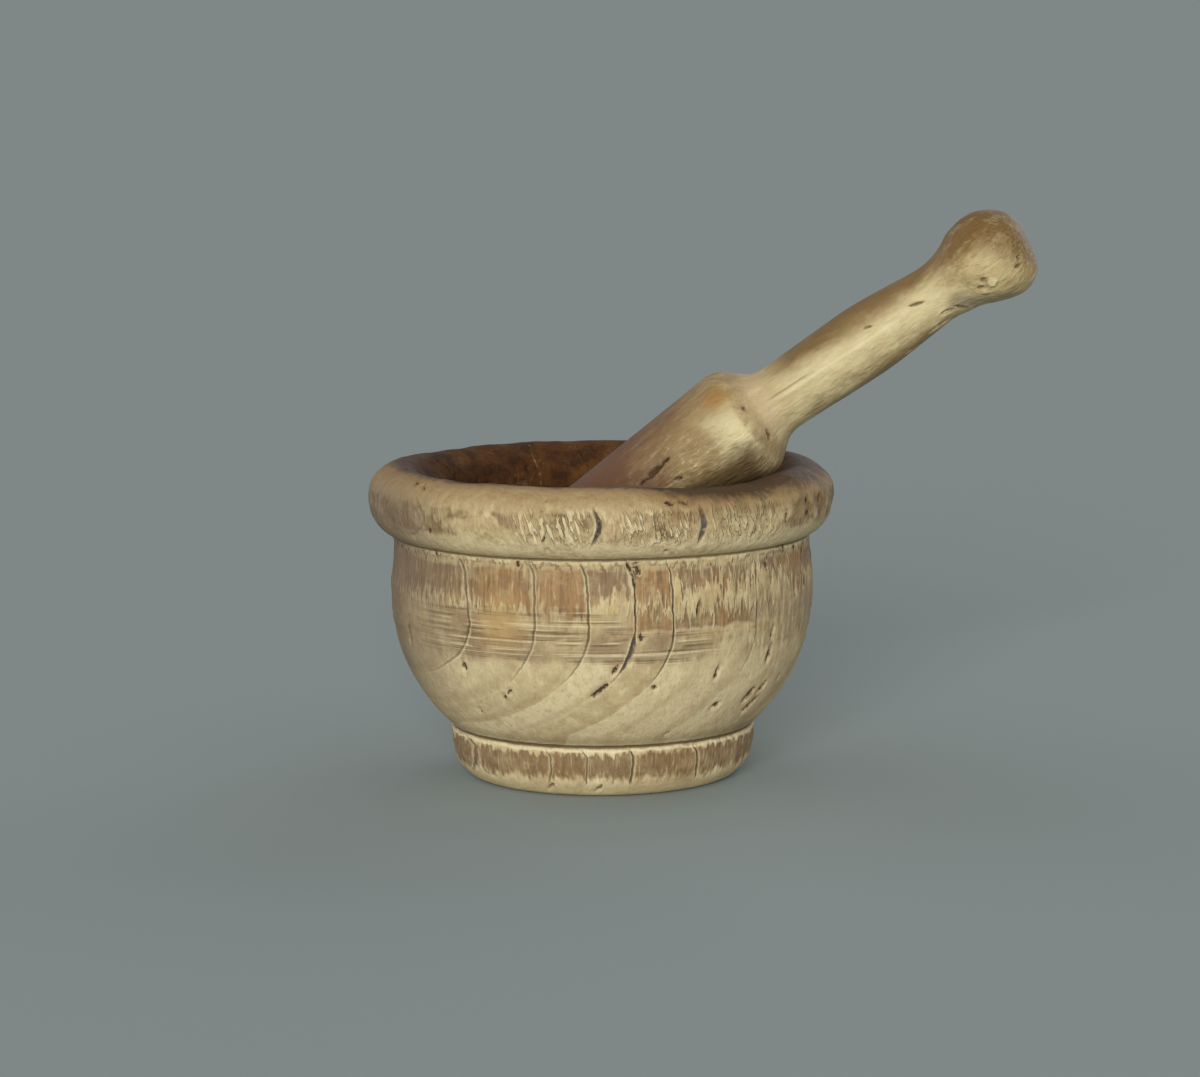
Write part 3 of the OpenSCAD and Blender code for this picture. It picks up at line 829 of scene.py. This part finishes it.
def pestleFinish(dial, tones, tip, turn):
    material, shader, place = startMaterial("wornPestleWood", dial["gloss"])
    seed = dial["seed"]
    values = {"Vector": place, "Location": tuple(tip), "Rotation": tuple(turn)}
    own = place.node("ShaderNodeMapping", {"vector_type": "TEXTURE"}, values)
    point = own.scaled(1 / mm)
    wood = pestleWood(point, seed)
    x, y, z = wood["x"], wood["y"], wood["z"]
    cloud, fibre, fine, mottle, flake = [wood[name] for name in ("cloud", "fibre", "fine", "mottle", "flake")]
    mark = place.node("ShaderNodeAttribute", {"attribute_name": "mark"}, None, "Fac")
    grain = noise(point, (1.5, 1.5, 0.8), seed + 30, 4.0, 0.65)
    head = z.ease(97, 90)
    knob = z.ease(155, 163)
    flaky = 0.3 + (head + knob) * 0.45

    # bare wood, with a pink shoulder that has a painted shade band just past the ridge, and a painted
    # highlight along the ridge round the head's top
    colour = cloud.ease(0.4, 0.62).blend(tones["tan"], tones["pale"])
    colour = (mottle.ease(0.46, 0.66) * (0.25 + head * 0.55)).blend(colour, tones["brown"])
    colour = (mottle.ease(0.46, 0.34) * 0.6).blend(colour, tones["cream"])
    colour = ((z + (mottle - 0.5) * 22).ease(91, 80) * 0.75).blend(colour, tones["brown"])
    colour = (fibre.ease(0.56, 0.7) * (0.15 + head * 0.35)).blend(colour, tones["umber"])
    colour = (fibre.ease(0.46, 0.34) * head * 0.4).blend(colour, tones["pale"])
    colour = (fine.ease(0.55, 0.72) * 0.3).blend(colour, tones["cream"])
    colour = (grain.ease(0.55, 0.75) * 0.3).blend(colour, tones["brown"])
    colour = (flake.ease(0.52, 0.68) * flaky * 0.8).blend(colour, tones["cream"])
    colour = (flake.ease(0.46, 0.36) * flaky * 0.8).blend(colour, tones["brown"])
    colour = (z.band(94, 102, 1.5) * (0.3 + mottle * 0.7)).blend(colour, tones["pink"])
    # painted shade: a darker brown band on the shoulder face just past the ridge
    colour = (z.band(93.5, 96.5, 1) * (0.1 + mottle * 0.7)).blend(colour, tones["brown"])
    # painted highlight: a pale line along the ridge on the middle of the sides
    ridgeHighlight = (z + (mottle - 0.5) * 12 + abs(x) * 0.6).ease(82, 91) * z.ease(93.2, 92)
    colour = (ridgeHighlight * abs(x).ease(11, 4) * 0.75).blend(colour, tones["cream"])

    # the head goes reddish brown towards the tip; the upper side golden, stain with painted shade; a painted
    # highlight along the middle of the sides; the underside painted shade, olive under the head
    down = x + (mottle - 0.5) * 10
    # painted highlight: a pale band along the middle of the grip's sides, between the upper side and the
    # underside
    colour = (z.band(102, 152, 5) * down.ease(-6, 0) * down.ease(9, 4) * 0.35).blend(colour, tones["cream"])
    # golden stain on the upper side, which also paints shade there, and brown on the head's upper side
    upper = (x + (mottle - 0.5) * 8).ease(-1.5, -7)
    colour = (upper * z.ease(99, 112) * (0.6 + cloud * 0.6)).blend(colour, tones["gold"])
    colour = (down.ease(1, -12) * head * (0.35 + flake * 0.6)).blend(colour, tones["brown"])
    # painted shade: umber along the grip's underside
    colour = (down.ease(3.5, 9.5) * z.band(106, 152, 6) * 0.6).blend(colour, tones["umber"])
    # painted shade under the head, with an olive tint
    under = down.ease(2, 9) * (z + down * 0.5).band(66, 97, 5)
    colour = (under * 0.9).blend(colour, tones["olive"])
    reddened = (z + (cloud - 0.5) * 30 + x * 0.6 + (fibre - 0.5) * 30).ease(80, 50)
    colour = (reddened * 0.9).blend(colour, tones["red"])

    # the knob is golden brown on top, stain with painted shade of its upper side, and there are two stains
    # and two chips
    colour = (knob * (0.1 + cloud * 0.4)).blend(colour, tones["honey"])
    # golden stain on the knob's top and upper side, which also paints shade there
    top = (z + mottle * 10 - 5 - x * 0.7).ease(167, 176)
    speckled = 0.6 + grain.ease(0.35, 0.6) * 0.4
    colour = (top * speckled).blend(colour, tones["gold"])
    colour = (down.ease(-2.5, -8) * knob * speckled).blend(colour, tones["gold"])
    colour = (mottle.ease(0.5, 0.62) * grain.ease(0.4, 0.55) * knob * 0.3).blend(colour, tones["pale"])
    colour = (spot(point, (-9, -12, 90), 7) * mottle.ease(0.3, 0.5) * 0.75).blend(colour, tones["stain"])
    colour = (spot(point, (6, -6, 157), 6) * 0.6).blend(colour, tones["slate"])
    relief = (grain - 0.5) * 0.12 + (fine - 0.5) * 0.16 + (mottle - 0.5) * 0.7
    relief = relief + (flake - 0.5) * flaky * 0.6
    for centre, radius in dial["chips"]:
        chip = spot(point, centre, radius) + (mottle - 0.5) * 0.8
        colour = ((chip + (grain - 0.5) * 1.2).ease(0.2, 0.8) * 0.7).blend(colour, tones["cream"])
        relief = relief + chip.ease(0.1, 0.7) * 0.4

    # the long pale streak along the grip, with a thin dark line above it
    bend = x - (z - 120) * 0.012
    nearSide = y.ease(0, -4)
    colour = (bend.band(-0.4, 0.5, 0.4) * z.band(104, 139, 3) * nearSide * 0.7).blend(colour, tones["cream"])
    above = bend.band(-1.2, -0.8, 0.25) * z.band(101, 113, 3) * nearSide
    colour = (above * 0.6).blend(colour, tones["umber"])

    # pits and slits
    ragged = mark + (grain - 0.5) * 2.6 + (fine - 0.5) * 1.8
    colour = (ragged.ease(1.7, 0.8) * 0.6).blend(colour, tones["umber"])
    colour = (ragged.ease(1.15, 0.5) * (0.45 + head * 0.4)).blend(colour, tones["dark"])
    finishMaterial(shader, colour, 0.55 + (grain - 0.5) * 0.3, relief)
    return material


def makePestle(dial):
    rows, knobZ = pestleOutline(dial)
    dots = markObject("pestleMarks", markDots(dial["marks"] + farMarks(dial["farMarks"]), rows))
    tip, turn = pestleFrame(dial)
    finish = pestleFinish(dial, pestleTones, tip, turn)
    placed = {"Place": tip, "Turn": turn}
    return makePiece("turned_pestle", dial, rows, dots, finish, pestleTree(dial, knobZ), placed)


# Floor, light and camera

studio = {
    "grey": tone(127, 136, 135),
    "floorGrey": tone(150, 160, 159),
    "floorSize": 80.0,
    "world": 0.38,  # how strongly the sky lights the pieces
    "suns": [  # where each one shines from, its breadth in degrees and its strength
        ((-0.14, -1.0, 0.2), 30, 3.1),
        ((0.7, 1.0, 0.3), 60, 1.0),
        ((-1.0, 0.6, 0.3), 60, 0.5),
    ],
    "eye": (-0.0004, -1.0, 0.2024),
    "pitch": 82.06,
    "roll": 0.4,
    "lens": 113.45,
    "sensor": 36,
}


def makeFloor(dial):
    material = bpy.data.materials.new("paperGrey")
    material.use_nodes = True
    shader = material.node_tree.nodes["Principled BSDF"]
    shader.inputs["Base Color"].default_value = dial["floorGrey"]
    shader.inputs["Roughness"].default_value = 0.9
    shader.inputs["Specular IOR Level"].default_value = 0.0
    half = dial["floorSize"] / 2
    corners = [(-half, -half, 0), (half, -half, 0), (half, half, 0), (-half, half, 0)]
    mesh = bpy.data.meshes.new("floor")
    mesh.from_pydata(corners, [], [(0, 1, 2, 3)])
    mesh.materials.append(material)
    floor = bpy.data.objects.new("floor", mesh)
    bpy.context.scene.collection.objects.link(floor)


def makeLight(dial):
    scene = bpy.context.scene
    scene.view_settings.view_transform = "Standard"
    world = bpy.data.worlds.new("studio")
    scene.world = world
    world.use_nodes = True
    tree = world.node_tree
    sky = tree.nodes["Background"]
    ray = tree.nodes.new("ShaderNodeLightPath")
    seen = Wire(tree, ray.outputs["Is Camera Ray"])  # the camera sees the grey, and the pieces a white sky
    tree.links.new(seen.blend((1, 1, 1, 1), dial["grey"]).socket, sky.inputs["Color"])
    power = dial["world"] + seen * (1 - dial["world"])
    tree.links.new(power.socket, sky.inputs["Strength"])
    for source, breadth, strength in dial["suns"]:
        lamp = bpy.data.lights.new("softSun", "SUN")
        lamp.angle = radians(breadth)
        lamp.energy = strength
        holder = bpy.data.objects.new("softSun", lamp)
        holder.rotation_euler = Vector(source).to_track_quat("Z", "Y").to_euler()
        scene.collection.objects.link(holder)


def makeCamera(dial):
    lens = bpy.data.cameras.new("camera")
    lens.lens = dial["lens"]
    lens.sensor_width = dial["sensor"]
    camera = bpy.data.objects.new("camera", lens)
    camera.location = dial["eye"]
    tilt = Matrix.Rotation(radians(dial["pitch"]), 3, "X") @ Matrix.Rotation(radians(-dial["roll"]), 3, "Z")
    camera.rotation_euler = tilt.to_euler()
    bpy.context.scene.collection.objects.link(camera)
    bpy.context.scene.camera = camera


makeCamera(studio)
makeLight(studio)
makeFloor(studio)
print("floor, light and camera are set")

mortarPiece = makeMortar(mortar)
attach(mortarPiece, "mortar")
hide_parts("mortar")

pestlePiece = makePestle(pestle)
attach(pestlePiece, "pestle")
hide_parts("pestle")
